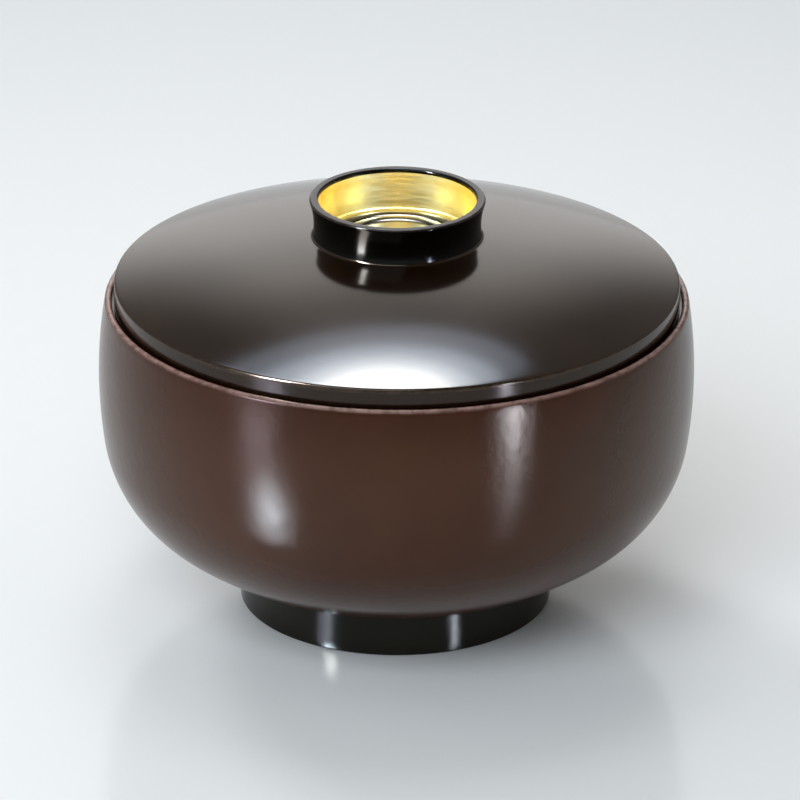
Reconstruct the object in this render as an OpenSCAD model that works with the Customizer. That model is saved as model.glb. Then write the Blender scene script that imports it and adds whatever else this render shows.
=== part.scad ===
// Lacquer soup bowl with a lid that drops inside its rim.
// Origin: centre of the foot ring on the table. +Z is up, along the axis of the turning.
// Every piece is a solid of revolution whose section is built from tangent arcs.

/* [Bowl] */
// Height of the bowl from the table to the crest of its rim
bowl_h = 70; // [62:0.5:78]
// Greatest outside diameter, at the belly
belly_d = 128.9; // [118:0.1:140]
// Height of the belly above the table
belly_h = 52.4; // [48:0.1:57]
// Radius of the side, seen in section
side_r = 103; // [80:1:140]
// Angle below the belly at which the side turns into the shoulder
side_turn = 8; // [5:0.5:12]
// Radius of the shoulder, seen in section
shoulder_r = 28.7; // [24:0.1:32]
// Diameter of the circle at which the underside would run level
level_d = 17.4; // [10:0.2:26]
// Thickness of the wall, coats included
wall_t = 4; // [3.6:0.1:4.6]
// Radius of the floor inside, seen in section
floor_r = 200; // [160:5:320]
// Thickness of the floor at its middle, coats included
floor_t = 3.4; // [2.8:0.1:4]

/* [Rim and lid seat] */
// Thickness of the lip that stands round the lid
lip_t = 1.6; // [1.3:0.1:1.9]
// Depth of the lid seat below the crest of the rim
seat_drop = 1.6; // [1.3:0.1:2.2]
// Rounding of the seat's inner edge
seat_round = 0.5; // [0.4:0.05:0.7]

/* [Foot ring] */
// Outside diameter on the table
foot_d = 68; // [60:0.2:74]
// How far the foot spreads from its top to the table, on each side
foot_flare = 0.6; // [0:0.1:1.5]
// Height of the foot at its outside
foot_h = 9; // [7.5:0.1:10.5]
// Width of the ring that stands on the table
foot_w = 3.8; // [3:0.1:5]
// Rounding of the foot's two lower edges
foot_round = 0.5; // [0.4:0.05:1]
// Cove between the recess wall and its ceiling
recess_cove = 1.5; // [0.8:0.1:2.5]

/* [Lid] */
// Radius of the dome, seen in section
dome_r = 172; // [150:1:220]
// Thickness of the dome, coats included
lid_t = 3.4; // [3.1:0.1:3.8]
// Thickness of the edge ring
edge_t = 2.4; // [2:0.1:3]
// Height of the edge's upper corner above the rim of the bowl
edge_proud = 3.9; // [3.4:0.1:6]
// Rounding of the edge ring's corners
edge_round = 0.6; // [0.4:0.05:0.8]
// Cove under the dome, where it meets the edge ring
lid_cove = 1.6; // [1:0.1:2]
// Clearance all round between the edge ring and the bowl's lip
lid_gap = 0.5; // [0.3:0.05:0.8]
// Clearance between the edge ring and its seat
seat_gap = 0.15; // [0.1:0.05:0.3]

/* [Knob ring] */
// Diameter at the waist
knob_waist_d = 36.1; // [32:0.1:42]
// Height of the knob above the dome at its foot
knob_h = 8.45; // [7:0.05:10]
// Height of the waist above the dome
waist_h = 2.5; // [2:0.1:4]
// Radius of the hollow outside, seen in section
flare_r = 17; // [14:0.5:26]
// Width of the knob's rim
knob_rim_w = 1.95; // [1.7:0.05:2.6]
// Slope of the gold wall, which narrows downwards
knob_draft = 3; // [1:0.5:6]
// Thickness of the lid under the knob's floor, coats included
knob_floor_t = 1.6; // [1.3:0.05:2]
// Rounding of the rim's edges
knob_round = 0.45; // [0.4:0.05:0.55]
// Distance from the rim down to the upper edge of the gold
gold_drop = 1.3; // [1:0.1:2.5]
// Cove between the gold wall and the floor
knob_cove = 0.7; // [0.5:0.1:1.2]

/* [Finishes] */
// Thickness of each lacquer coat with its ground
coat_t = 0.3; // [0.2:0.05:0.35]

/* [Hidden] */

// Colours
core_colour = [0.62, 0.45, 0.28];
brown_satin = [0.29, 0.20, 0.165];
brown_gloss = [0.17, 0.11, 0.085];
black_gloss = [0.05, 0.045, 0.04];
gold_colour = [0.87, 0.69, 0.25];

// Steps along a small, a middling and a long arc, and round the axis
small_steps = 6;
middle_steps = 12;
long_steps = 20;
$fn = 128;

// Foot ring
foot_r = foot_d / 2;
foot_top_r = foot_r - foot_flare;
foot_core_r = foot_top_r - coat_t;
foot_in_r = foot_r - foot_w;

// Bowl, section: centres and angles of the tangent arcs
belly_radius = belly_d / 2;
lip_r = lip_t / 2;
side_c = [belly_radius - side_r, belly_h];
lip_z = bowl_h - lip_r;
lip_turn = asin((lip_z - belly_h) / (side_r - lip_r));
lip_c = [side_c.x + (side_r - lip_r) * cos(lip_turn), lip_z];
throat_r = lip_c.x - lip_r;
side_end_z = belly_h - side_r * sin(side_turn);
shoulder_fit_r = min(shoulder_r, side_end_z - foot_h);
shoulder_c = side_c + (side_r - shoulder_fit_r) * [cos(side_turn), -sin(side_turn)];
under_c = [level_d / 2, touching_z(level_d / 2, [foot_top_r, foot_h], shoulder_c, shoulder_fit_r)];
under_r = norm([foot_top_r, foot_h] - under_c);
under_turn = atan2(under_c.y - shoulder_c.y, shoulder_c.x - under_c.x);
floor_c = [0, under_c.y + sqrt(pow(floor_r - under_r + wall_t, 2) - pow(under_c.x, 2))];
floor_turn = atan2(floor_c.y - under_c.y, under_c.x);
recess_h = floor_c.y - floor_r - floor_t;
recess_fit_r = min(recess_cove, recess_h - foot_round);
seat_z = bowl_h - seat_drop;
inner_side_r = side_r - wall_t;
seat_round_z = seat_z - seat_round;
seat_round_c = [side_c.x + fall(inner_side_r + seat_round, seat_round_z - belly_h), seat_round_z];
seat_turn = asin((seat_round_z - belly_h) / (inner_side_r + seat_round));

// Lid, section
edge_r = throat_r - lid_gap;
edge_in_r = edge_r - edge_t;
lid_z = seat_z + seat_gap;
dome_c = [0, bowl_h + edge_proud - sqrt(pow(dome_r, 2) - pow(edge_r, 2))];
edge_c = [edge_r - edge_round, dome_c.y + fall(dome_r - edge_round, edge_r - edge_round)];
ceiling_r = dome_r - lid_t;
cove_c = [edge_in_r - lid_cove, dome_c.y + fall(ceiling_r - lid_cove, edge_in_r - lid_cove)];
edge_turn = atan2(edge_c.y - dome_c.y, edge_c.x);
cove_turn = atan2(cove_c.y - dome_c.y, cove_c.x);

// Knob ring, section
waist_r = knob_waist_d / 2;
knob_z = dome_c.y + fall(dome_r, waist_r);
knob_top = knob_z + knob_h;
flare_c = [waist_r + flare_r, knob_z + waist_h];
knob_foot_r = flare_c.x - fall(flare_r, waist_h);
crown_z = knob_top - knob_round;
crown_c = [flare_c.x - fall(flare_r + knob_round, crown_z - flare_c.y), crown_z];
crown_turn = atan2(crown_c.y - flare_c.y, flare_c.x - crown_c.x);
crown_in_c = [crown_c.x + 2 * knob_round - knob_rim_w, crown_z];
knob_floor_z = dome_c.y + ceiling_r + knob_floor_t;
gold_z = knob_top - gold_drop;
floor_cove_c = [knob_wall(knob_floor_z + knob_cove, -knob_cove), knob_floor_z + knob_cove];

// The side of a right triangle, from its long side and its other side
function fall(slope, side) = sqrt(pow(slope, 2) - pow(side, 2));

// Points along an arc
function arc(centre, radius, from, to, steps) =
    [for (i = [0:steps]) let (a = from + (to - from) * i / steps) centre + radius * [cos(a), sin(a)]];

// Height, at radius x, of the centre of an arc that passes through p
// and touches, from outside it, a circle of radius r round c
function touching_z(x, p, c, r) =
    let (
        rise = (c.y - p.y) / r,
        start = (pow(p.x - x, 2) - pow(c.x - x, 2) + pow(p.y, 2) - pow(c.y, 2) + r * r) / (2 * r),
        mid = start * rise + p.y,
        far = pow(p.x - x, 2) + pow(p.y, 2) - pow(start, 2)
    )
    far / (mid + sqrt(pow(mid, 2) + (pow(rise, 2) - 1) * far));

function reverse(points) = [for (i = [len(points) - 1:-1:0]) points[i]];

// Height of the bowl's underside at radius r, with its outer layer taken off to depth o
function under_z(r, o) = under_c.y - fall(under_r - o, r - under_c.x);

// Height of the dome at radius r, with its outer layer taken off to depth o
function dome_z(r, o) = dome_c.y + fall(dome_r - o, r);

// Radius of the knob's inner wall at height z, at depth o
function knob_wall(z, o) =
    crown_in_c.x + (z - crown_z) * tan(knob_draft) - (knob_round - o) / cos(knob_draft);

// Angle on the underside arc at radius r
function under_angle(r, o) = -acos((r - under_c.x) / (under_r - o));

// Angle on the dome arc at radius r
function dome_angle(r, o) = acos(r / (dome_r - o));

// Outside of the bowl from the inner side of the lip to radius r on the underside, at depth o
function bowl_outside(r, o) = concat(
    arc(lip_c, lip_r - o, 180, lip_turn, middle_steps),
    arc(side_c, side_r - o, lip_turn, 0, small_steps),
    arc(side_c, side_r - o, 0, -side_turn, small_steps),
    arc(shoulder_c, shoulder_fit_r - o, -side_turn, -under_turn, long_steps),
    arc(under_c, under_r - o, -under_turn, under_angle(r, o), middle_steps)
);

// Inside of the bowl from the lip to the axis, at depth o
function bowl_inside(o) = concat(
    [[throat_r + o, lip_z], [throat_r + o, seat_z - o]],
    arc(seat_round_c, seat_round - o, 90, 180 + seat_turn, small_steps),
    arc(side_c, inner_side_r + o, seat_turn, -side_turn, middle_steps),
    arc(shoulder_c, shoulder_fit_r - wall_t + o, -side_turn, -under_turn, long_steps),
    arc(under_c, under_r - wall_t + o, -under_turn, -floor_turn, middle_steps),
    arc(floor_c, floor_r + o, -floor_turn, -90, middle_steps)
);

// Foot ring from just under the bowl, round the standing edge, to the axis, at depth o
function foot_outline(o) = concat(
    arc([foot_r - foot_round, foot_round], foot_round - o, 0, -90, small_steps),
    arc([foot_in_r + foot_round, foot_round], foot_round - o, -90, -180, small_steps),
    arc([foot_in_r - recess_fit_r, recess_h - recess_fit_r], recess_fit_r + o, 0, 90, small_steps),
    [[0, recess_h + o]]
);

// Outside of the lid from radius r on the dome to the bottom of its edge ring, at depth o
function lid_outside(r, o) = concat(
    arc(dome_c, dome_r - o, dome_angle(r, o), edge_turn, long_steps),
    arc(edge_c, edge_round - o, edge_turn, 0, small_steps),
    arc([edge_r - edge_round, lid_z + edge_round], edge_round - o, 0, -90, small_steps)
);

// Under the lid from the bottom of its edge ring to the axis, at depth o
function lid_inside(o) = concat(
    [[edge_r - edge_round, lid_z + o]],
    arc([edge_in_r + edge_round, lid_z + edge_round], edge_round - o, -90, -180, small_steps),
    arc(cove_c, lid_cove + o, 0, cove_turn, middle_steps),
    arc(dome_c, ceiling_r + o, cove_turn, 90, long_steps)
);

// Outside of the knob ring from its foot over the rim to the gold's upper edge, at depth o
function knob_outside(o) =
    let (foot_turn = 180 + asin(waist_h / (flare_r + o)))
    concat(
        arc(flare_c, flare_r + o, foot_turn, 180 - crown_turn, middle_steps),
        arc(crown_c, knob_round - o, -crown_turn, 90, small_steps),
        arc(crown_in_c, knob_round - o, 90, 180 - knob_draft, small_steps),
        [[knob_wall(gold_z, o), gold_z]]
    );

// Gold wall of the knob ring and its cove down to the floor, at depth o
function knob_inside(o) = concat(
    [[knob_wall(gold_z, o), gold_z]],
    arc(floor_cove_c, knob_cove + o, -knob_draft, -90, small_steps)
);

module turned(section) {
    rotate_extrude() polygon(section);
}

module bowl_core() {
    color(core_colour) turned(concat(
        reverse(bowl_inside(coat_t)),
        bowl_outside(foot_core_r, coat_t),
        foot_outline(coat_t)
    ));
}

module bowl_outer_lacquer() {
    color(brown_satin) turned(concat(
        bowl_outside(foot_top_r, 0),
        reverse(bowl_outside(foot_top_r, coat_t))
    ));
}

module bowl_inner_lacquer() {
    color(black_gloss) turned(concat(bowl_inside(0), reverse(bowl_inside(coat_t))));
}

module foot_lacquer() {
    color(black_gloss) turned(concat(
        [[foot_core_r, under_z(foot_core_r, coat_t)]],
        [[foot_top_r, under_z(foot_top_r, coat_t)]],
        [[foot_top_r, foot_h]],
        foot_outline(0),
        reverse(foot_outline(coat_t))
    ));
}

module lid_core() {
    knob_core = knob_outside(coat_t);
    color(core_colour) turned(concat(
        reverse(lid_inside(coat_t)),
        reverse(lid_outside(knob_core[0].x, coat_t)),
        knob_core,
        knob_inside(coat_t),
        [[0, knob_floor_z - coat_t]]
    ));
}

module lid_outer_lacquer() {
    color(brown_gloss) turned(concat(
        lid_outside(knob_foot_r, 0),
        reverse(lid_outside(knob_foot_r, coat_t))
    ));
}

module lid_inner_lacquer() {
    color(black_gloss) turned(concat(lid_inside(0), reverse(lid_inside(coat_t))));
}

module knob_lacquer() {
    knob_core = knob_outside(coat_t);
    color(black_gloss) turned(concat(
        [[knob_foot_r, dome_z(knob_foot_r, coat_t)]],
        knob_outside(0),
        reverse(knob_core),
        [[knob_core[0].x, dome_z(knob_core[0].x, coat_t)]]
    ));
}

module knob_gold() {
    color(gold_colour) turned(concat(knob_inside(0), reverse(knob_inside(coat_t))));
}

module knob_floor_lacquer() {
    color(brown_gloss) turned([
        [0, knob_floor_z], [floor_cove_c.x, knob_floor_z],
        [floor_cove_c.x, knob_floor_z - coat_t], [0, knob_floor_z - coat_t]
    ]);
}

bowl_core();
bowl_outer_lacquer();
bowl_inner_lacquer();
foot_lacquer();
lid_core();
lid_outer_lacquer();
lid_inner_lacquer();
knob_lacquer();
knob_gold();
knob_floor_lacquer();
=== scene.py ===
import math

import bpy
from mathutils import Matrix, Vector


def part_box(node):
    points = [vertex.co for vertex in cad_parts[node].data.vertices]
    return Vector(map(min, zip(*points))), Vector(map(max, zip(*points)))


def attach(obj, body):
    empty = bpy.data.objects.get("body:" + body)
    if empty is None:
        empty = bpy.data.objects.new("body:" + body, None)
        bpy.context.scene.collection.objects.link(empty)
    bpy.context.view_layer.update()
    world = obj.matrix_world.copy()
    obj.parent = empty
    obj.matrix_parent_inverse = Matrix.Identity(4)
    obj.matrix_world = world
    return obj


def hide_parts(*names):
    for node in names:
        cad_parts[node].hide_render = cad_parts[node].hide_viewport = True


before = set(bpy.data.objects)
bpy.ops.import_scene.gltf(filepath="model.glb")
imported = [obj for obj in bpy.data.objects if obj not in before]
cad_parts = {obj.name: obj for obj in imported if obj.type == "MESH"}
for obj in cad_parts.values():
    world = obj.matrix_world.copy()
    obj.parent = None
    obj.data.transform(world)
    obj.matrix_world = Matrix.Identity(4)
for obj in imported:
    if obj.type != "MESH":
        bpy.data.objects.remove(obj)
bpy.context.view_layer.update()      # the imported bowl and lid: everything here is built round it

mm = 0.001             # sizes of the bowl are in millimetres, Blender's are in metres
roundSides = 256       # how many sides a turned piece has
weldGap = 0.004        # points of a turned piece closer than this become one
smoothAngle = 30       # edges sharper than this many degrees stay sharp

print("frame loaded")


# Turning: a section is drawn with one point as the pencil, then spun round the bowl's axis

pencil = {"x": 0.0, "z": 0.0}
strokes = []           # the arcs drawn so far, so that the pencil can go back behind the coat


def startSection(name, x, z):
    bpy.ops.object.select_all(action="DESELECT")
    bpy.ops.mesh.primitive_plane_add(size=mm, location=(0, 0, 0))
    piece = bpy.context.active_object
    piece.name = piece.data.name = name
    bpy.ops.object.mode_set(mode="EDIT")
    bpy.ops.mesh.select_mode(type="VERT")
    bpy.ops.mesh.select_all(action="SELECT")
    bpy.ops.mesh.merge(type="CENTER")
    bpy.ops.transform.translate(value=(x * mm, 0, z * mm))
    pencil["x"], pencil["z"] = x, z
    strokes.clear()
    return piece


def straight(dx, dz, steps=1):
    for step in range(steps):
        move = {"value": (dx * mm / steps, 0, dz * mm / steps)}
        bpy.ops.mesh.extrude_region_move(TRANSFORM_OT_translate=move)
    pencil["x"] += dx
    pencil["z"] += dz


def straightTo(x, z, steps=1):
    straight(x - pencil["x"], z - pencil["z"], steps)


def arc(centre, turn, steps):      # turn is in degrees, from X towards Z
    bpy.ops.mesh.spin(
        steps=steps, angle=math.radians(turn),
        center=(centre[0] * mm, 0, centre[1] * mm), axis=(0, 1, 0),
    )
    across, up = pencil["x"] - centre[0], pencil["z"] - centre[1]
    cos, sin = math.cos(math.radians(turn)), math.sin(math.radians(turn))
    pencil["x"] = centre[0] + across * cos - up * sin
    pencil["z"] = centre[1] + across * sin + up * cos
    strokes.append((centre, turn, steps))


def turnOf(centre, x, z):          # the direction of a point seen from a centre, in degrees
    return math.degrees(math.atan2(z - centre[1], x - centre[0]))


def arcTo(centre, stopAt, steps):  # the short way round to that direction
    turn = (stopAt - turnOf(centre, pencil["x"], pencil["z"]) + 180) % 360 - 180
    arc(centre, turn, steps)


def turnPiece(piece, startX, startZ):
    # closes the section, unless it starts on the axis, and spins it
    if startX > 0:
        straightTo(startX, startZ)
    bpy.ops.mesh.select_all(action="SELECT")
    bpy.ops.mesh.spin(steps=roundSides, angle=math.tau, center=(0, 0, 0), axis=(0, 0, 1))
    bpy.ops.mesh.select_all(action="SELECT")
    bpy.ops.mesh.remove_doubles(threshold=weldGap * mm)
    bpy.ops.mesh.delete_loose(use_verts=True, use_edges=True, use_faces=False)
    bpy.ops.mesh.select_all(action="SELECT")
    bpy.ops.mesh.normals_make_consistent(inside=False)
    bpy.ops.object.mode_set(mode="OBJECT")
    bpy.ops.object.shade_smooth_by_angle(angle=math.radians(smoothAngle))
    return piece


def finishPiece(piece, body, node, material):
    piece.data.materials.clear()
    piece.data.materials.append(material)
    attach(piece, body)
    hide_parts(node)
    print(piece.name, "made")
    return piece


def fall(slope, side):             # the third side of a right triangle
    return math.sqrt(slope * slope - side * side)


def touchingHeight(x, point, centre, radius):
    # height at x of an arc's centre, where the arc runs through point and touches a circle
    rise = (centre[1] - point[1]) / radius
    start = ((point[0] - x) ** 2 - (centre[0] - x) ** 2
             + point[1] ** 2 - centre[1] ** 2 + radius ** 2) / (2 * radius)
    mid = start * rise + point[1]
    far = (point[0] - x) ** 2 + point[1] ** 2 - start ** 2
    return far / (mid + math.sqrt(mid ** 2 + (rise ** 2 - 1) * far))


# Helpers for shader nodes

def newGroup(name, inputs, outputs):
    group = bpy.data.node_groups.new(name, "ShaderNodeTree")
    for label, kind, value in inputs:
        socket = group.interface.new_socket(name=label, in_out="INPUT", socket_type=kind)
        socket.default_value = value
    for label, kind in outputs:
        group.interface.new_socket(name=label, in_out="OUTPUT", socket_type=kind)
    given = group.nodes.new("NodeGroupInput").outputs
    out = group.nodes.new("NodeGroupOutput").inputs
    return group, given, out


def addNode(tree, kind, **settings):
    # settings are the node's own, or the values of its inputs
    node = tree.nodes.new(kind)
    for key, value in settings.items():
        if key in node.inputs:
            node.inputs[key].default_value = value
        else:
            setattr(node, key, value)
    return node


def feed(tree, value, socket):     # a plain number is set, anything else is linked
    if isinstance(value, (int, float)):
        socket.default_value = value
    else:
        tree.links.new(value, socket)


def mathNode(tree, operation, *values):
    node = addNode(tree, "ShaderNodeMath", operation=operation)
    for index, value in enumerate(values):
        feed(tree, value, node.inputs[index])
    return node.outputs[0]


def spread(tree, value, low, high, newLow=0.0, newHigh=1.0):
    node = addNode(tree, "ShaderNodeMapRange", interpolation_type="SMOOTHSTEP")
    labels = ("Value", "From Min", "From Max", "To Min", "To Max")
    for label, number in zip(labels, (value, low, high, newLow, newHigh)):
        feed(tree, number, node.inputs[label])
    return node.outputs["Result"]


def noiseAt(tree, position, wavelength, detail=2.0, roughness=0.5):
    # wavelength in millimetres
    node = addNode(tree, "ShaderNodeTexNoise", noise_dimensions="3D",
                   Scale=1 / (wavelength * mm), Detail=detail, Roughness=roughness)
    tree.links.new(position, node.inputs["Vector"])
    return node.outputs["Fac"]


def splitOf(tree, vector):
    node = addNode(tree, "ShaderNodeSeparateXYZ")
    tree.links.new(vector, node.inputs[0])
    return node.outputs


def fromAxis(tree, split):         # distance from the bowl's axis
    square = mathNode(tree, "MULTIPLY", split["X"], split["X"])
    total = mathNode(tree, "MULTIPLY_ADD", split["Y"], split["Y"], square)
    return mathNode(tree, "SQRT", total)


def placeOn(tree):
    return addNode(tree, "ShaderNodeTexCoord").outputs["Object"]


def colourSocket(sockets, name):
    return [s for s in sockets if s.name == name and s.type == "RGBA"][0]


def mixColours(tree, share, first, second):
    node = addNode(tree, "ShaderNodeMix", data_type="RGBA")
    for label, colour in (("A", first), ("B", second)):
        target = colourSocket(node.inputs, label)
        if isinstance(colour, tuple):
            target.default_value = (*colour, 1)
        else:
            tree.links.new(colour, target)
    tree.links.new(share, node.inputs["Factor"])
    return colourSocket(node.outputs, "Result")


def useGroup(tree, group, position, **values):
    node = tree.nodes.new("ShaderNodeGroup")
    node.node_tree = group
    tree.links.new(position, node.inputs["Position"])
    for key, value in values.items():
        node.inputs[key].default_value = value
    return node.outputs


def newMaterial(name):
    material = bpy.data.materials.new(name)
    material.use_nodes = True
    tree = material.node_tree
    return material, tree, tree.nodes["Principled BSDF"]


def dress(tree, shader, colour, roughness, height, relief):
    # relief is how far the height stands out, in millimetres
    bump = addNode(tree, "ShaderNodeBump", Strength=1.0, Distance=relief * mm)
    tree.links.new(height, bump.inputs["Height"])
    tree.links.new(colour, shader.inputs["Base Color"])
    tree.links.new(roughness, shader.inputs["Roughness"])
    tree.links.new(bump.outputs["Normal"], shader.inputs["Normal"])


# Shader groups that the finishes share; wavelengths and spacings are in millimetres

flowLook = {
    "wave": 14, "waveHeight": 6.0, "peel": 1.6, "speckle": 0.35, "plainDetail": 1.0,
    "nibSpacing": 5.5, "nibShare": 0.045,      # a nib's radius is a share of the spacing
    "cloud": 34, "cloudDetail": 3.0, "cloudRoughness": 0.6,
}
turnLook = {"detail": 3.0, "broad": 0.22}
rubLook = {
    "solid": 0.25, "patch": 2.6, "patchDetail": 3.0, "patchRoughness": 0.65,
    "patchLow": 0.34, "patchHigh": 0.62, "least": 0.4,
}


def makeFlowGroup():
    # how sprayed lacquer settles: long soft waves, fine orange peel and a few nibs of dust
    group, given, out = newGroup("lacquerFlow", [
        ("Position", "NodeSocketVector", (0, 0, 0)),
        ("Wave", "NodeSocketFloat", 1.0),
        ("Peel", "NodeSocketFloat", 1.0),
        ("Nibs", "NodeSocketFloat", 1.0),
    ], [("Height", "NodeSocketFloat"), ("Cloud", "NodeSocketFloat"), ("Speckle", "NodeSocketFloat")])
    position = given["Position"]
    wave = noiseAt(group, position, flowLook["wave"], flowLook["plainDetail"])
    peel = noiseAt(group, position, flowLook["peel"])
    cloud = noiseAt(group, position, flowLook["cloud"], flowLook["cloudDetail"], flowLook["cloudRoughness"])
    speckle = noiseAt(group, position, flowLook["speckle"], flowLook["plainDetail"])
    dust = addNode(group, "ShaderNodeTexVoronoi", feature="F1", Scale=1 / (flowLook["nibSpacing"] * mm))
    group.links.new(position, dust.inputs["Vector"])
    nib = spread(group, dust.outputs["Distance"], 0.0, flowLook["nibShare"], 1.0, 0.0)
    waveHeight = mathNode(group, "MULTIPLY", wave, given["Wave"])
    peelHeight = mathNode(group, "MULTIPLY", peel, given["Peel"])
    nibHeight = mathNode(group, "MULTIPLY", nib, given["Nibs"])
    height = mathNode(group, "MULTIPLY_ADD", waveHeight, flowLook["waveHeight"], peelHeight)
    group.links.new(mathNode(group, "ADD", height, nibHeight), out["Height"])
    group.links.new(cloud, out["Cloud"])
    group.links.new(speckle, out["Speckle"])
    return group


def makeTurnGroup():
    # lines left by turning and polishing on the lathe, running round the axis
    group, given, out = newGroup("latheLines", [
        ("Position", "NodeSocketVector", (0, 0, 0)),
        ("Pitch", "NodeSocketFloat", 0.5),
        ("Stretch", "NodeSocketFloat", 0.06),
    ], [("Lines", "NodeSocketFloat"), ("Broad", "NodeSocketFloat")])
    split = splitOf(group, given["Position"])
    perPitch = mathNode(group, "DIVIDE", 1 / mm, given["Pitch"])
    around = mathNode(group, "MULTIPLY", perPitch, given["Stretch"])
    along = mathNode(group, "ADD", fromAxis(group, split), split["Z"])
    joined = addNode(group, "ShaderNodeCombineXYZ")
    group.links.new(mathNode(group, "MULTIPLY", split["X"], around), joined.inputs["X"])
    group.links.new(mathNode(group, "MULTIPLY", split["Y"], around), joined.inputs["Y"])
    group.links.new(mathNode(group, "MULTIPLY", along, perPitch), joined.inputs["Z"])
    fine = addNode(group, "ShaderNodeTexNoise", Scale=1.0, Detail=turnLook["detail"])
    broad = addNode(group, "ShaderNodeTexNoise", Scale=turnLook["broad"])
    for noise, label in ((fine, "Lines"), (broad, "Broad")):
        group.links.new(joined.outputs[0], noise.inputs["Vector"])
        group.links.new(noise.outputs["Fac"], out[label])
    return group


def makeRubGroup():
    # a worn ring where hands and cloths rub an edge, lighter in colour; on the bowl's lip and the knob's
    # crown it also paints a highlight; radius and height place it
    group, given, out = newGroup("rubbedEdgeAndHighlight", [
        ("Position", "NodeSocketVector", (0, 0, 0)),
        ("Radius", "NodeSocketFloat", 60.0),
        ("Height", "NodeSocketFloat", 60.0),
        ("Width", "NodeSocketFloat", 1.0),
    ], [("Rub", "NodeSocketFloat")])
    split = splitOf(group, given["Position"])
    radius = mathNode(group, "DIVIDE", fromAxis(group, split), mm)
    height = mathNode(group, "DIVIDE", split["Z"], mm)
    sideways = mathNode(group, "SUBTRACT", radius, given["Radius"])
    upward = mathNode(group, "SUBTRACT", height, given["Height"])
    square = mathNode(group, "MULTIPLY", sideways, sideways)
    distance = mathNode(group, "SQRT", mathNode(group, "MULTIPLY_ADD", upward, upward, square))
    away = mathNode(group, "DIVIDE", distance, given["Width"])
    near = spread(group, away, rubLook["solid"], 1.0, 1.0, 0.0)
    noise = noiseAt(group, given["Position"], rubLook["patch"],
                    rubLook["patchDetail"], rubLook["patchRoughness"])
    patches = spread(group, noise, rubLook["patchLow"], rubLook["patchHigh"], rubLook["least"], 1.0)
    group.links.new(mathNode(group, "MULTIPLY", near, patches), out["Rub"])
    return group


flowGroup = makeFlowGroup()
turnGroup = makeTurnGroup()
rubGroup = makeRubGroup()


# Lacquers: colours are scene-linear, linePitch and relief are in millimetres

# the satin's rubbed colour, a pale pink, is worn lacquer on the lip and also a painted highlight along the
# lip's crest
satinBrown = {
    "deep": (0.038, 0.0098, 0.0046), "light": (0.051, 0.0150, 0.0068), "rubbed": (0.33, 0.20, 0.18),
    "roughness": 0.21, "rubRough": 0.05, "speckle": 0.10, "lineRough": 0.04, "linePitch": 0.7,
    "wave": 0.25, "peel": 0.9, "nibs": 0.08, "lineRelief": 0.03, "relief": 0.042,
    "ior": 2.05, "tint": (0.265, 0.226, 0.174),
}
glossBrown = {
    "deep": (0.006, 0.0024, 0.0009), "light": (0.010, 0.0042, 0.0015), "rubbed": (0.10, 0.06, 0.04),
    "roughness": 0.13, "rubRough": 0.12, "speckle": 0.03, "lineRough": 0.03, "linePitch": 0.8,
    "wave": 0.5, "peel": 0.35, "nibs": 0.3, "lineRelief": 0.1, "relief": 0.004,
    "ior": 1.48, "tint": (1.0, 0.85, 0.73),
}
glossBlack = {
    "deep": (0.0036, 0.0032, 0.0018), "light": (0.0070, 0.0060, 0.0034), "rubbed": (0.12, 0.07, 0.055),
    "roughness": 0.11, "rubRough": 0.2, "speckle": 0.02, "lineRough": 0.03, "linePitch": 0.6,
    "wave": 0.5, "peel": 0.35, "nibs": 0.3, "lineRelief": 0.15, "relief": 0.004,
    "ior": 1.36, "tint": (1.0, 0.97, 0.82),
}
# the knob is blacker than the foot, and its floor reflects a little less than the lid
# the knob's rubbed colour is worn lacquer and also a painted highlight on the crown's outer edge
deepBlack = dict(
    glossBlack, deep=(0.0012, 0.0009, 0.0007), light=(0.0024, 0.0018, 0.0014),
    rubbed=(0.085, 0.055, 0.045), ior=1.3, tint=(1.0, 1.0, 1.0),
)
floorBrown = dict(glossBrown, ior=1.45, tint=(1.0, 0.86, 0.76))
coatLook = {"cloudLow": 0.3, "cloudHigh": 0.7, "leastRough": 0.94, "mostRough": 1.07, "lineStretch": 0.05}


def rubAt(x, z, rub):              # a rubbed ring, set out and down from an edge's own place
    return dict(Radius=x + rub["out"], Height=z - rub["down"], Width=rub["width"]), rub["amount"]


def centred(tree, value, reach):   # a noise round 0.5 turned into one round 0, reach wide
    return mathNode(tree, "MULTIPLY_ADD", value, reach, -0.5 * reach)


def makeLacquer(name, look, *rubs):
    # one coat of lacquer: colour with soft clouds, flow in the surface, rubbed edges, some of them painted
    # highlights
    material, tree, shader = newMaterial(name)
    position = placeOn(tree)
    flow = useGroup(tree, flowGroup, position, Wave=look["wave"], Peel=look["peel"], Nibs=look["nibs"])
    lines = useGroup(tree, turnGroup, position, Pitch=look["linePitch"], Stretch=coatLook["lineStretch"])
    low, high = coatLook["cloudLow"], coatLook["cloudHigh"]
    colour = mixColours(tree, spread(tree, flow["Cloud"], low, high), look["deep"], look["light"])
    roughness = spread(tree, flow["Cloud"], low, high,
                       look["roughness"] * coatLook["leastRough"], look["roughness"] * coatLook["mostRough"])
    grain = centred(tree, flow["Speckle"], look["speckle"])
    ring = centred(tree, lines["Lines"], look["lineRough"])
    roughness = mathNode(tree, "ADD", mathNode(tree, "ADD", roughness, grain), ring)
    for place, amount in rubs:
        share = mathNode(tree, "MULTIPLY", useGroup(tree, rubGroup, position, **place)["Rub"], amount)
        colour = mixColours(tree, share, colour, look["rubbed"])
        roughness = mathNode(tree, "MULTIPLY_ADD", share, look["rubRough"], roughness)
    height = mathNode(tree, "MULTIPLY_ADD", lines["Lines"], look["lineRelief"], flow["Height"])
    dress(tree, shader, colour, roughness, height, look["relief"])
    shader.inputs["IOR"].default_value = look["ior"]
    shader.inputs["Specular Tint"].default_value = (*look["tint"], 1.0)
    return material


# The bowl

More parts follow.
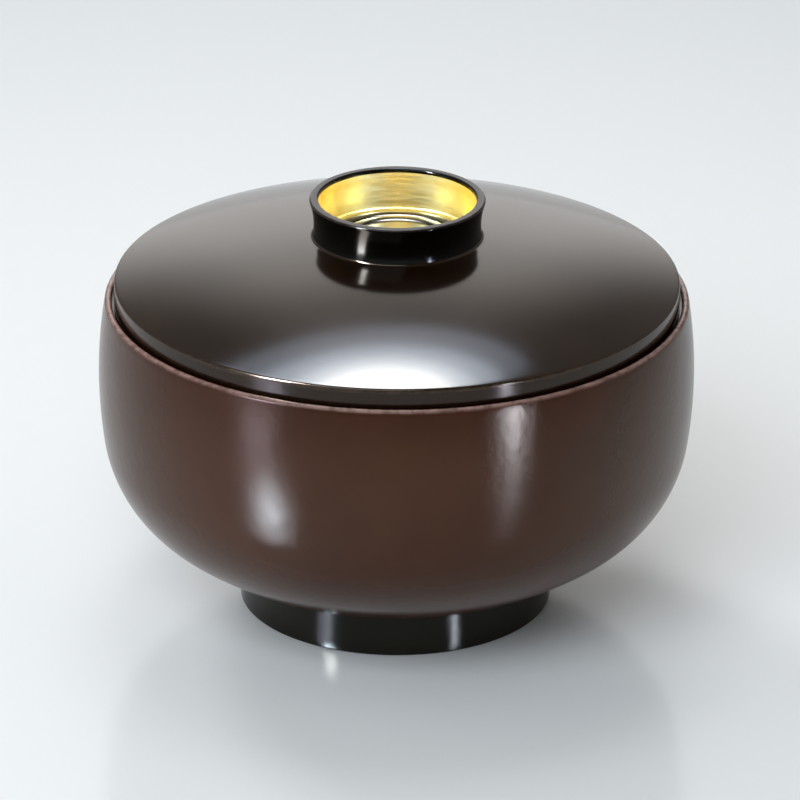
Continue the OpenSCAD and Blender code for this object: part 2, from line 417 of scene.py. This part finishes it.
bowl = {
    "height": 70.0, "belly": 128.9, "bellyHeight": 52.4, "sideRadius": 103.0, "sideTurn": 8.0,
    "shoulderRadius": 28.7, "wall": 4.0, "floorRadius": 200.0, "levelWidth": 17.4, "floor": 3.4,
    "lip": 1.6, "seatDrop": 1.6, "seatRound": 0.5, "coat": 0.3, "bead": 0.45,
}
bowlSteps = {
    "lip": 14, "side": 26, "under": 18, "bead": 6,
    "seatRound": 8, "innerSide": 20, "inner": 24, "floor": 10,
}
# the lip's rubbed ring: worn lacquer, and also a painted highlight that lightens the crest of the lip
bowlLipRubAndHighlight = {"out": 0.1, "down": 0.0, "width": 1.2, "amount": 0.75}
foot = {"width": 68.0, "flare": 0.6, "height": 9.0, "wall": 3.8, "round": 0.5, "cove": 1.5}
footSteps = {"wall": 6, "round": 8, "cove": 10, "roof": 8}

footRadius = foot["width"] / 2
footTop = footRadius - foot["flare"]
footInside = footRadius - foot["wall"]
sideCentre = (bowl["belly"] / 2 - bowl["sideRadius"], bowl["bellyHeight"])
sideTurn = math.radians(bowl["sideTurn"])
shoulderReach = bowl["sideRadius"] - bowl["shoulderRadius"]
shoulderCentre = (sideCentre[0] + shoulderReach * math.cos(sideTurn),
                  sideCentre[1] - shoulderReach * math.sin(sideTurn))
footStart = (footTop, foot["height"])
underX = bowl["levelWidth"] / 2
underCentre = (underX, touchingHeight(underX, footStart, shoulderCentre, bowl["shoulderRadius"]))
underRadius = math.dist(underCentre, footStart)
underTurn = -turnOf(underCentre, *shoulderCentre)
lipRadius = bowl["lip"] / 2
lipHeight = bowl["height"] - lipRadius
lipX = sideCentre[0] + fall(bowl["sideRadius"] - lipRadius, lipHeight - sideCentre[1])
lipCentre = (lipX, lipHeight)
lipTurn = turnOf(sideCentre, *lipCentre)
throat = lipX - lipRadius
seatHeight = bowl["height"] - bowl["seatDrop"]
innerSide = bowl["sideRadius"] - bowl["wall"]
innerUnder = underRadius - bowl["wall"]
floorCentre = (0.0, underCentre[1] + fall(bowl["floorRadius"] - innerUnder, underX))
floorTurn = -turnOf(floorCentre, *underCentre)
roofHeight = floorCentre[1] - bowl["floorRadius"] - bowl["floor"]


def makeBowlOutside():
    piece = startSection("bowl_outside", throat, lipHeight)
    arcTo(lipCentre, lipTurn, bowlSteps["lip"])
    arcTo(sideCentre, -bowl["sideTurn"], bowlSteps["side"])
    arcTo(shoulderCentre, -underTurn, bowlSteps["side"])
    # a small bead of lacquer where the body meets the foot
    reach = underRadius + bowl["bead"]
    beadX = footTop + bowl["bead"]
    beadCentre = (beadX, underCentre[1] - fall(reach, beadX - underCentre[0]))
    arcTo(underCentre, turnOf(underCentre, *beadCentre), bowlSteps["under"])
    arcTo(beadCentre, 180, bowlSteps["bead"])
    # the hidden side, back behind the coat
    hidden = underRadius - bowl["coat"]
    meet = math.acos((footTop - underCentre[0]) / hidden)
    straightTo(footTop, underCentre[1] - hidden * math.sin(meet))
    arcTo(underCentre, -underTurn, bowlSteps["under"])
    arcTo(shoulderCentre, -bowl["sideTurn"], bowlSteps["side"])
    arcTo(sideCentre, lipTurn, bowlSteps["side"])
    arc(lipCentre, 180 - lipTurn, bowlSteps["lip"])
    return turnPiece(piece, throat, lipHeight)


def makeBowlInside():
    piece = startSection("bowl_inside", throat, lipHeight)
    straightTo(throat, seatHeight)
    # the seat that the lid lies on, then the wall, the shoulder and the floor
    roundCentreHeight = seatHeight - bowl["seatRound"]
    roundReach = innerSide + bowl["seatRound"]
    roundCentre = (sideCentre[0] + fall(roundReach, roundCentreHeight - sideCentre[1]), roundCentreHeight)
    straightTo(roundCentre[0], seatHeight)
    arc(roundCentre, 90 + turnOf(sideCentre, *roundCentre), bowlSteps["seatRound"])
    arcTo(sideCentre, -bowl["sideTurn"], bowlSteps["innerSide"])
    arcTo(shoulderCentre, -underTurn, bowlSteps["inner"])
    arcTo(underCentre, -floorTurn, bowlSteps["inner"])
    arcTo(floorCentre, -90, bowlSteps["floor"])
    straight(0, -bowl["coat"])
    for centre, turn, steps in strokes[::-1]:
        arc(centre, -turn, steps)
    straightTo(throat + bowl["coat"], seatHeight - bowl["coat"])
    straightTo(throat + bowl["coat"], lipHeight)
    return turnPiece(piece, throat, lipHeight)


def makeFoot():
    top = underCentre[1] - fall(underRadius - bowl["coat"], footTop - underCentre[0])
    heel = (footRadius - foot["round"], foot["round"])
    toe = (footInside + foot["round"], foot["round"])
    cove = (footInside - foot["cove"], roofHeight - foot["cove"])
    piece = startSection("foot_ring", footTop, top)
    straightTo(footTop, foot["height"])
    # the wall flares out to the standing edge
    straightTo(footRadius, foot["round"], footSteps["wall"])
    arc(heel, -90, footSteps["round"])
    straightTo(toe[0], 0)
    arc(toe, -90, footSteps["round"])
    straightTo(footInside, cove[1])
    arc(cove, 90, footSteps["cove"])
    straightTo(0, roofHeight, footSteps["roof"])
    straight(0, bowl["coat"])
    # the hidden side
    straightTo(cove[0], roofHeight + bowl["coat"], footSteps["roof"])
    arc(cove, -90, footSteps["cove"])
    straightTo(footInside + bowl["coat"], foot["round"])
    arc(toe, 90, footSteps["round"])
    straightTo(heel[0], bowl["coat"])
    arc(heel, 90, footSteps["round"])
    straightTo(footTop - bowl["coat"], top)
    return turnPiece(piece, footTop, top)


# The lid and its knob

lid = {
    "domeRadius": 172.0, "thickness": 3.4, "edgeWidth": 2.4, "edgeRound": 0.6,
    "cove": 1.6, "gap": 0.5, "seatGap": 0.15, "coat": 0.3, "bead": 0.55,
}
lidSteps = {"bead": 6, "dome": 60, "corner": 12, "side": 3, "lowRound": 10, "inside": 2, "toe": 8}
lidRub = {"out": 0.0, "down": 0.0, "width": 0.8, "amount": 0.25}
knob = {
    "waist": 36.1, "height": 8.45, "waistHeight": 2.5, "flareRadius": 17.0, "rim": 1.95, "draft": 3.0,
    "round": 0.45, "goldDrop": 0.85, "cove": 0.7, "floor": 1.6, "coat": 0.3,
    "rings": 2, "ringRadius": 3.0, "ringSlope": 29.0,
}
knobSteps = {
    "flare": 22, "crown": 12, "crownIn": 10, "goldEdge": 2, "gold": 8,
    "middle": 10, "ring": 14, "underside": 16,
}
# the crown's rubbed ring: worn lacquer, and also a painted highlight, a pinkish line along the crown's outer
# edge
knobCrownRubAndHighlight = {"out": 0.1, "down": 0.1, "width": 0.5, "amount": 0.6}

edgeRadius = throat - lid["gap"]
lidLow = seatHeight + lid["seatGap"]
edgeInside = edgeRadius - lid["edgeWidth"]
cornerX = edgeRadius - lid["edgeRound"]
ceilingRadius = lid["domeRadius"] - lid["thickness"]
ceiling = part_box("lid_inner_lacquer")[1].z / mm - lid["coat"]
domeCentre = (0.0, ceiling - ceilingRadius)
corner = (cornerX, domeCentre[1] + fall(lid["domeRadius"] - lid["edgeRound"], cornerX))
waist = knob["waist"] / 2
knobLow = domeCentre[1] + fall(lid["domeRadius"], waist)
knobTop = knobLow + knob["height"]
flareCentre = (waist + knob["flareRadius"], knobLow + knob["waistHeight"])
knobFoot = flareCentre[0] - fall(knob["flareRadius"], knob["waistHeight"])
crownHeight = knobTop - knob["round"]
crownReach = fall(knob["flareRadius"] + knob["round"], crownHeight - flareCentre[1])
crown = (flareCentre[0] - crownReach, crownHeight)
crownIn = (crown[0] + 2 * knob["round"] - knob["rim"], crownHeight)
knobFloor = domeCentre[1] + ceilingRadius + knob["floor"]
goldTop = knobTop - knob["goldDrop"]
draft = math.radians(knob["draft"])


def knobWall(height, depth):       # radius of the knob's inner wall, or of a layer behind it
    return crownIn[0] + (height - crownHeight) * math.tan(draft) - (knob["round"] - depth) / math.cos(draft)


def makeLidOutside():
    # the dome starts in a bead of lacquer against the knob's foot
    beadX = knobFoot + lid["bead"]
    bead = (beadX, domeCentre[1] + fall(lid["domeRadius"] + lid["bead"], beadX))
    low = (cornerX, lidLow + lid["edgeRound"])
    piece = startSection("lid_outside", knobFoot, bead[1])
    arc(bead, turnOf(domeCentre, *bead), lidSteps["bead"])
    arcTo(domeCentre, turnOf(domeCentre, *corner), lidSteps["dome"])
    arcTo(corner, 0, lidSteps["corner"])
    straightTo(edgeRadius, low[1], lidSteps["side"])
    arc(low, -90, lidSteps["lowRound"])
    # the hidden side
    straight(0, lid["coat"])
    arc(low, 90, lidSteps["lowRound"])
    straightTo(edgeRadius - lid["coat"], corner[1], lidSteps["side"])
    arcTo(corner, turnOf(domeCentre, *corner), lidSteps["corner"])
    hidden = lid["domeRadius"] - lid["coat"]
    arcTo(domeCentre, math.degrees(math.acos(knobFoot / hidden)), lidSteps["dome"])
    return turnPiece(piece, knobFoot, bead[1])


def makeLidInside():
    coveX = edgeInside - lid["cove"]
    cove = (coveX, domeCentre[1] + fall(ceilingRadius - lid["cove"], coveX))
    coveTurn = turnOf(domeCentre, *cove)
    toe = (edgeInside + lid["edgeRound"], lidLow + lid["edgeRound"])
    piece = startSection("lid_inside", cornerX, lidLow)
    straightTo(toe[0], lidLow)
    arc(toe, -90, lidSteps["toe"])
    straightTo(edgeInside, cove[1], lidSteps["inside"])
    arc(cove, coveTurn, lidSteps["corner"])
    arcTo(domeCentre, 90, lidSteps["dome"])
    # the hidden side
    straight(0, lid["coat"])
    arcTo(domeCentre, coveTurn, lidSteps["dome"])
    arcTo(cove, 0, lidSteps["corner"])
    straightTo(edgeInside + lid["coat"], toe[1], lidSteps["inside"])
    arc(toe, 90, lidSteps["toe"])
    straightTo(cornerX, lidLow + lid["coat"])
    return turnPiece(piece, cornerX, lidLow)


def makeKnobOutside():
    ringLow = domeCentre[1] + fall(lid["domeRadius"] - lid["coat"], knobFoot)
    piece = startSection("knob_ring", knobFoot, ringLow)
    straightTo(knobFoot, knobLow)
    arcTo(flareCentre, turnOf(flareCentre, *crown), knobSteps["flare"])
    arcTo(crown, 90, knobSteps["crown"])
    straightTo(crownIn[0], knobTop)
    arcTo(crownIn, 180 - knob["draft"], knobSteps["crownIn"])
    straightTo(knobWall(goldTop, 0), goldTop, knobSteps["goldEdge"])
    # the hidden side
    straightTo(knobWall(goldTop, knob["coat"]), goldTop)
    inRound = knob["round"] - knob["coat"]
    straightTo(crownIn[0] - inRound * math.cos(draft), crownIn[1] + inRound * math.sin(draft),
               knobSteps["goldEdge"])
    arcTo(crownIn, 90, knobSteps["crownIn"])
    straightTo(crown[0], knobTop - knob["coat"])
    arcTo(crown, turnOf(crown, *flareCentre), knobSteps["crown"])
    hidden = knob["flareRadius"] + knob["coat"]
    arcTo(flareCentre, 180 + math.degrees(math.asin(knob["waistHeight"] / hidden)), knobSteps["flare"])
    straightTo(pencil["x"], ringLow)
    return turnPiece(piece, knobFoot, ringLow)


def makeKnobGold():
    coveHeight = knobFloor + knob["cove"]
    cove = (knobWall(coveHeight, -knob["cove"]), coveHeight)
    piece = startSection("knob_gold_wall", knobWall(goldTop, 0), goldTop)
    straightTo(cove[0] + knob["cove"] * math.cos(draft), cove[1] - knob["cove"] * math.sin(draft),
               knobSteps["gold"])
    arcTo(cove, -90, knobSteps["gold"])
    straight(0, -knob["coat"])
    arcTo(cove, -knob["draft"], knobSteps["gold"])
    straightTo(knobWall(goldTop, knob["coat"]), goldTop, knobSteps["gold"])
    return turnPiece(piece, knobWall(goldTop, 0), goldTop)


def makeKnobFloor():
    # a flat middle, then low round rings out to the wall
    edge = knobWall(knobFloor + knob["cove"], -knob["cove"])
    slope = math.radians(knob["ringSlope"])
    ringWidth = 2 * knob["ringRadius"] * math.sin(slope)
    piece = startSection("knob_floor", 0, knobFloor)
    straightTo(edge - knob["rings"] * ringWidth, knobFloor, knobSteps["middle"])
    for ring in range(knob["rings"]):
        under = (pencil["x"] + ringWidth / 2, knobFloor - knob["ringRadius"] * math.cos(slope))
        arc(under, -2 * knob["ringSlope"], knobSteps["ring"])
    straightTo(edge, knobFloor - knob["coat"])
    straightTo(0, knobFloor - knob["coat"], knobSteps["underside"])
    return turnPiece(piece, 0, knobFloor)


# Gold and wood: linePitch, fibre and relief are in millimetres, tilt and turn in degrees, and
# about three growth rings lie in so many millimetres as rings says

goldLook = {
    "wave": 0.5, "peel": 0.6, "nibs": 0.3, "linePitch": 0.35, "lineStretch": 0.05,
    "deep": (0.90, 0.68, 0.19), "light": (0.96, 0.80, 0.32), "line": (0.74, 0.53, 0.15),
    "lightFrom": 0.35, "lightTo": 0.65, "lineFrom": 0.55, "lineTo": 0.85, "lineShare": 0.25,
    "roughFrom": 0.3, "roughTo": 0.7, "leastRough": 0.29, "mostRough": 0.37, "relief": 0.003,
}
woodLook = {
    "early": (0.30, 0.16, 0.075), "late": (0.46, 0.28, 0.14), "dark": (0.2, 0.1, 0.045),
    "stretch": (1.0, 0.12, 1.0), "tilt": 8, "turn": 20, "rings": 10.0, "distortion": 3.0, "detail": 2.0,
    "fibre": 0.3, "fibreDetail": 3.0, "fibreRoughness": 0.6,
    "darkFrom": 0.5, "darkTo": 0.75, "darkShare": 0.5,
    "roughFrom": 0.3, "roughTo": 0.7, "leastRough": 0.5, "mostRough": 0.62, "relief": 0.03,
}


def makeGold(look):
    # brushed gold lacquer: a metal with fine lines running round and a few thin places
    material, tree, shader = newMaterial("goldBand")
    position = placeOn(tree)
    flow = useGroup(tree, flowGroup, position, Wave=look["wave"], Peel=look["peel"], Nibs=look["nibs"])
    lines = useGroup(tree, turnGroup, position, Pitch=look["linePitch"], Stretch=look["lineStretch"])
    thin = mathNode(tree, "MULTIPLY", mathNode(tree, "ADD", flow["Cloud"], lines["Broad"]), 0.5)
    lightness = spread(tree, thin, look["lightFrom"], look["lightTo"])
    lining = spread(tree, lines["Lines"], look["lineFrom"], look["lineTo"], 0.0, look["lineShare"])
    colour = mixColours(tree, lightness, look["deep"], look["light"])
    colour = mixColours(tree, lining, colour, look["line"])
    roughness = spread(tree, lines["Lines"], look["roughFrom"], look["roughTo"],
                       look["leastRough"], look["mostRough"])
    height = mathNode(tree, "ADD", lines["Lines"], flow["Height"])
    dress(tree, shader, colour, roughness, height, look["relief"])
    shader.inputs["Metallic"].default_value = 1.0
    return material


def makeWood(look):
    # the turned cores under the lacquer: growth rings with fine fibres
    material, tree, shader = newMaterial("turnedWood")
    stretch = addNode(tree, "ShaderNodeMapping", Scale=look["stretch"],
                      Rotation=(0.0, math.radians(look["tilt"]), math.radians(look["turn"])))
    tree.links.new(placeOn(tree), stretch.inputs["Vector"])
    rings = addNode(tree, "ShaderNodeTexWave", wave_type="BANDS", bands_direction="X",
                    Scale=1 / (look["rings"] * mm), Distortion=look["distortion"], Detail=look["detail"])
    tree.links.new(stretch.outputs[0], rings.inputs["Vector"])
    fibre = noiseAt(tree, stretch.outputs[0], look["fibre"], look["fibreDetail"], look["fibreRoughness"])
    colour = mixColours(tree, rings.outputs["Fac"], look["early"], look["late"])
    darkness = spread(tree, fibre, look["darkFrom"], look["darkTo"], 0.0, look["darkShare"])
    colour = mixColours(tree, darkness, colour, look["dark"])
    roughness = spread(tree, fibre, look["roughFrom"], look["roughTo"], look["leastRough"], look["mostRough"])
    dress(tree, shader, colour, roughness, fibre, look["relief"])
    return material


# the rubbed rings on the bowl's lip and the knob's crown are worn lacquer and painted highlights at once
satin = makeLacquer("satinBrownLacquer", satinBrown, rubAt(lipX, bowl["height"], bowlLipRubAndHighlight))
brown = makeLacquer("glossBrownLacquer", glossBrown, rubAt(edgeRadius, corner[1], lidRub))
brownFloor = makeLacquer("knobFloorLacquer", floorBrown)
black = makeLacquer("glossBlackLacquer", glossBlack)
knobBlack = makeLacquer("knobBlackLacquer", deepBlack, rubAt(crown[0], knobTop, knobCrownRubAndHighlight))
gold = makeGold(goldLook)
wood = makeWood(woodLook)
print("finishes mixed")

for coreName in ("bowl_core", "lid_core"):
    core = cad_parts[coreName]
    core.data.materials.clear()
    core.data.materials.append(wood)

bowlOutside = finishPiece(makeBowlOutside(), "bowl", "bowl_outer_lacquer", satin)
finishPiece(makeBowlInside(), "bowl", "bowl_inner_lacquer", black)
footRing = finishPiece(makeFoot(), "bowl", "foot_lacquer", black)
lidOutside = finishPiece(makeLidOutside(), "lid", "lid_outer_lacquer", brown)
finishPiece(makeLidInside(), "lid", "lid_inner_lacquer", black)
knobRing = finishPiece(makeKnobOutside(), "lid", "knob_lacquer", knobBlack)
knobGold = finishPiece(makeKnobGold(), "lid", "knob_gold", gold)
knobMiddle = finishPiece(makeKnobFloor(), "lid", "knob_floor_lacquer", brownFloor)


# Studio, in metres and degrees

aimHeight = 0.04                   # the lamps and the camera face this height on the axis
# the board's near colour is paler than its far one, a painted falloff of light away from the bowl
board = {
    "size": 14.0, "near": (0.725, 0.75, 0.765), "far": (0.47, 0.515, 0.54),
    "paintedFalloffFrom": 0.14, "paintedFalloffTo": 0.60, "roughness": 0.16, "ior": 1.24, "twinLift": 0.00003,
}
room = {
    "colour": (0.335, 0.32, 0.305), "frontShare": 0.35, "frontFrom": -0.6, "frontTo": -0.1,
    "glow": 1.55, "glowTurn": -1.0, "glowSide": 8.0, "glowSideEnd": 23.0,
    "glowLow": -2.0, "glowHigh": 22.0, "glowLowShare": 0.55,
    "glowTop": 32.0, "glowTopEnd": 50.0, "glowTopShare": 0.35,
}


def makeBoard():
    # paler round the bowl and a little darker far away: a painted falloff of light on a sheet of coated board
    material, tree, shader = newMaterial("paleTableWithPaintedFalloff")
    distance = addNode(tree, "ShaderNodeVectorMath", operation="LENGTH")
    tree.links.new(placeOn(tree), distance.inputs[0])
    far = spread(tree, distance.outputs["Value"], board["paintedFalloffFrom"], board["paintedFalloffTo"])
    tree.links.new(mixColours(tree, far, board["near"], board["far"]), shader.inputs["Base Color"])
    shader.inputs["Roughness"].default_value = board["roughness"]
    shader.inputs["IOR"].default_value = board["ior"]
    # clear from below
    facing = addNode(tree, "ShaderNodeNewGeometry")
    clear = addNode(tree, "ShaderNodeBsdfTransparent")
    sides = addNode(tree, "ShaderNodeMixShader")
    tree.links.new(facing.outputs["Backfacing"], sides.inputs["Fac"])
    tree.links.new(shader.outputs["BSDF"], sides.inputs[1])
    tree.links.new(clear.outputs["BSDF"], sides.inputs[2])
    tree.links.new(sides.outputs["Shader"], tree.nodes["Material Output"].inputs["Surface"])
    return material


def makeFloor(name, height, material):
    bpy.ops.object.select_all(action="DESELECT")
    bpy.ops.mesh.primitive_plane_add(size=board["size"], location=(0, 0, height))
    floor = bpy.context.active_object
    floor.name = name
    floor.data.materials.append(material)
    return floor


def makeWorld():
    # soft room light, dimmer in front, with a bright patch behind the bowl as from a pale backdrop
    world = bpy.data.worlds.new("studioWorld")
    bpy.context.scene.world = world
    world.use_nodes = True
    tree = world.node_tree
    split = splitOf(tree, addNode(tree, "ShaderNodeTexCoord").outputs["Generated"])
    azimuth = mathNode(tree, "ARCTAN2", split["X"], split["Y"])
    azimuth = mathNode(tree, "SUBTRACT", azimuth, math.radians(room["glowTurn"]))
    height = mathNode(tree, "ARCSINE", split["Z"])
    glow = spread(tree, mathNode(tree, "ABSOLUTE", azimuth),
                  math.radians(room["glowSide"]), math.radians(room["glowSideEnd"]), 1.0, 0.0)
    rise = spread(tree, height, math.radians(room["glowLow"]), math.radians(room["glowHigh"]),
                  room["glowLowShare"], 1.0)
    drop = spread(tree, height, math.radians(room["glowTop"]), math.radians(room["glowTopEnd"]),
                  1.0, room["glowTopShare"])
    glow = mathNode(tree, "MULTIPLY", mathNode(tree, "MULTIPLY", glow, rise), drop)
    bright = tuple(c + room["glow"] for c in room["colour"])
    dim = tuple(c * room["frontShare"] for c in room["colour"])
    behind = spread(tree, split["Y"], room["frontFrom"], room["frontTo"])
    walls = mixColours(tree, behind, dim, room["colour"])
    tree.links.new(mixColours(tree, glow, walls, bright), tree.nodes["Background"].inputs["Color"])


def addLamp(name, place, size, radiance, colour=(1, 1, 1), seenIn="both", shape="RECTANGLE", lights=()):
    # a soft box that faces the bowl; place is its azimuth, elevation and distance, and azimuth 0
    # stands straight behind the bowl and turns to the right
    # seenIn says whether it makes highlights only ("gloss"), soft light only ("soft") or both
    # lights are the only things that it lights, as when a flag keeps a lamp off all the rest
    turn, lift, distance = math.radians(place[0]), math.radians(place[1]), place[2]
    bpy.ops.object.light_add(type="AREA", location=(
        distance * math.cos(lift) * math.sin(turn),
        distance * math.cos(lift) * math.cos(turn),
        distance * math.sin(lift) + aimHeight,
    ))
    lamp = bpy.context.active_object
    lamp.name = name
    lamp.data.shape = shape
    lamp.data.size, lamp.data.size_y = size
    area = size[0] * size[1] * (math.pi / 4 if shape == "ELLIPSE" else 1)
    lamp.data.energy = radiance * math.pi * area
    lamp.data.color = colour
    lamp.rotation_euler = (math.radians(90) - lift, 0, math.pi - turn)
    lamp.visible_camera = False
    lamp.visible_diffuse = seenIn != "gloss"
    lamp.visible_glossy = seenIn != "soft"
    if lights:
        receivers = bpy.data.collections.new(name + "_receivers")
        for item in lights:
            receivers.objects.link(item)
        lamp.light_linking.receiver_collection = receivers


ellipse = {"seenIn": "gloss", "shape": "ELLIPSE"}
coolWhite = (0.88, 0.95, 1.0)

# the floor that is seen, and its twin that only the bowl's reflections see: of the two, the strip
# lamps shine on the twin alone, so that they don't glare from the other side of the bowl
boardFinish = makeBoard()
floor = makeFloor("studio_floor", 0, boardFinish)
floor.visible_glossy = False
twin = makeFloor("floor_in_reflections", board["twinLift"], boardFinish)
twin.visible_camera = twin.visible_diffuse = twin.visible_shadow = False
makeWorld()

# the big soft box above, in layers that fade outwards
addLamp("key_softbox", (-6.5, 70, 0.90), (0.36, 0.24), 5, (1.0, 0.98, 0.96), "soft", "ELLIPSE")
addLamp("key_core", (-5, 70, 0.91), (0.28, 0.19), 14, (0.93, 1.0, 1.0), **ellipse)
addLamp("key_ring", (-5.5, 68.6, 0.92), (0.38, 0.22), 8, (0.74, 0.88, 1.0), **ellipse)
addLamp("key_halo", (-8, 66.2, 0.93), (0.51, 0.24), 6.5, (0.62, 0.79, 1.0), **ellipse)
addLamp("key_haze", (-14, 63, 0.94), (0.72, 0.29), 2.9, (0.60, 0.75, 1.0), **ellipse)

# soft light from behind, the left and the front
addLamp("back_soft", (-30, 28, 2.60), (0.64, 0.56), 21, seenIn="soft")
addLamp("side_soft", (-82, 36, 1.30), (0.80, 0.60), 1.5, (1.0, 0.99, 0.97), "soft")
addLamp("side_gloss", (-82, 36, 1.30), (0.80, 0.60), 3.2, seenIn="gloss", lights=[lidOutside, bowlOutside])
addLamp("front_fill", (-160, 42, 1.60), (1.30, 0.90), 2.8, coolWhite)
addLamp("front_soft", (-155, 38, 1.61), (1.30, 0.90), 2.9, coolWhite, "soft")

# narrow lamps at the front left and right, each for the streaks on its own pieces
addLamp("left_head", (-130.5, 26.1, 1.0), (0.14, 0.17), 1530, (0.61, 0.75, 1.0), **ellipse, lights=[twin])
addLamp("left_tail", (-128.5, 12, 1.0), (0.19, 0.32), 31, (0.72, 0.70, 1.0), "gloss",
        lights=[twin, bowlOutside])
addLamp("left_strip", (-131, 26, 1.0), (0.17, 0.75), 180, seenIn="gloss", lights=[lidOutside])
addLamp("foot_strip", (-130.5, 30, 1.0), (0.13, 0.20), 350, (0.86, 0.92, 1.0), "gloss", lights=[footRing])
addLamp("knob_strip", (-130.5, 30, 1.0), (0.11, 0.40), 230, seenIn="gloss", lights=[knobRing])
addLamp("right_strip", (136.5, 13, 1.1), (0.07, 0.64), 178, (0.68, 0.75, 1.0), "gloss", lights=[twin])
addLamp("left_glint", (-128, 24, 1.0), (0.10, 0.20), 600, (0.38, 0.53, 1.0), "gloss", lights=[knobGold])
addLamp("right_glint", (138, 24, 1.0), (0.10, 0.20), 560, (0.38, 0.51, 1.0), "gloss", lights=[knobGold])

# a glint from above on the rings in the knob's floor, and a fill from the front for the gold
addLamp("ring_glint", (-5, 69, 0.9), (0.42, 0.16), 26, (1.0, 0.97, 0.92), "gloss", lights=[knobMiddle])
addLamp("gold_fill", (180, 25, 1.2), (0.80, 0.40), 8.5, (1.0, 0.97, 0.9), "gloss", lights=[knobGold])
print("studio lit")


# Camera, in metres and degrees; its lens and sensor are in millimetres

camera = {
    "distance": 1.4, "elevation": 23.6, "lens": 289.6, "sensor": 36.0,
    "shiftX": 0.0048, "shiftY": 0.0281, "roll": 0.345, "nearest": 0.05, "farthest": 40.0,
}


def makeCamera():
    lift = math.radians(camera["elevation"])
    place = (0, -camera["distance"] * math.cos(lift), aimHeight + camera["distance"] * math.sin(lift))
    bpy.ops.object.camera_add(location=place)
    cam = bpy.context.active_object
    cam.name = "photo_camera"
    cam.rotation_euler = (math.radians(90) - lift, 0, 0)
    cam.rotation_euler.rotate_axis("Z", math.radians(camera["roll"]))
    cam.data.sensor_width = camera["sensor"]
    cam.data.lens = camera["lens"]
    cam.data.shift_x, cam.data.shift_y = camera["shiftX"], camera["shiftY"]
    cam.data.clip_start, cam.data.clip_end = camera["nearest"], camera["farthest"]
    bpy.context.scene.camera = cam


makeCamera()
bpy.context.scene.view_settings.view_transform = "Standard"
print("camera placed")

bpy.context.view_layer.update()
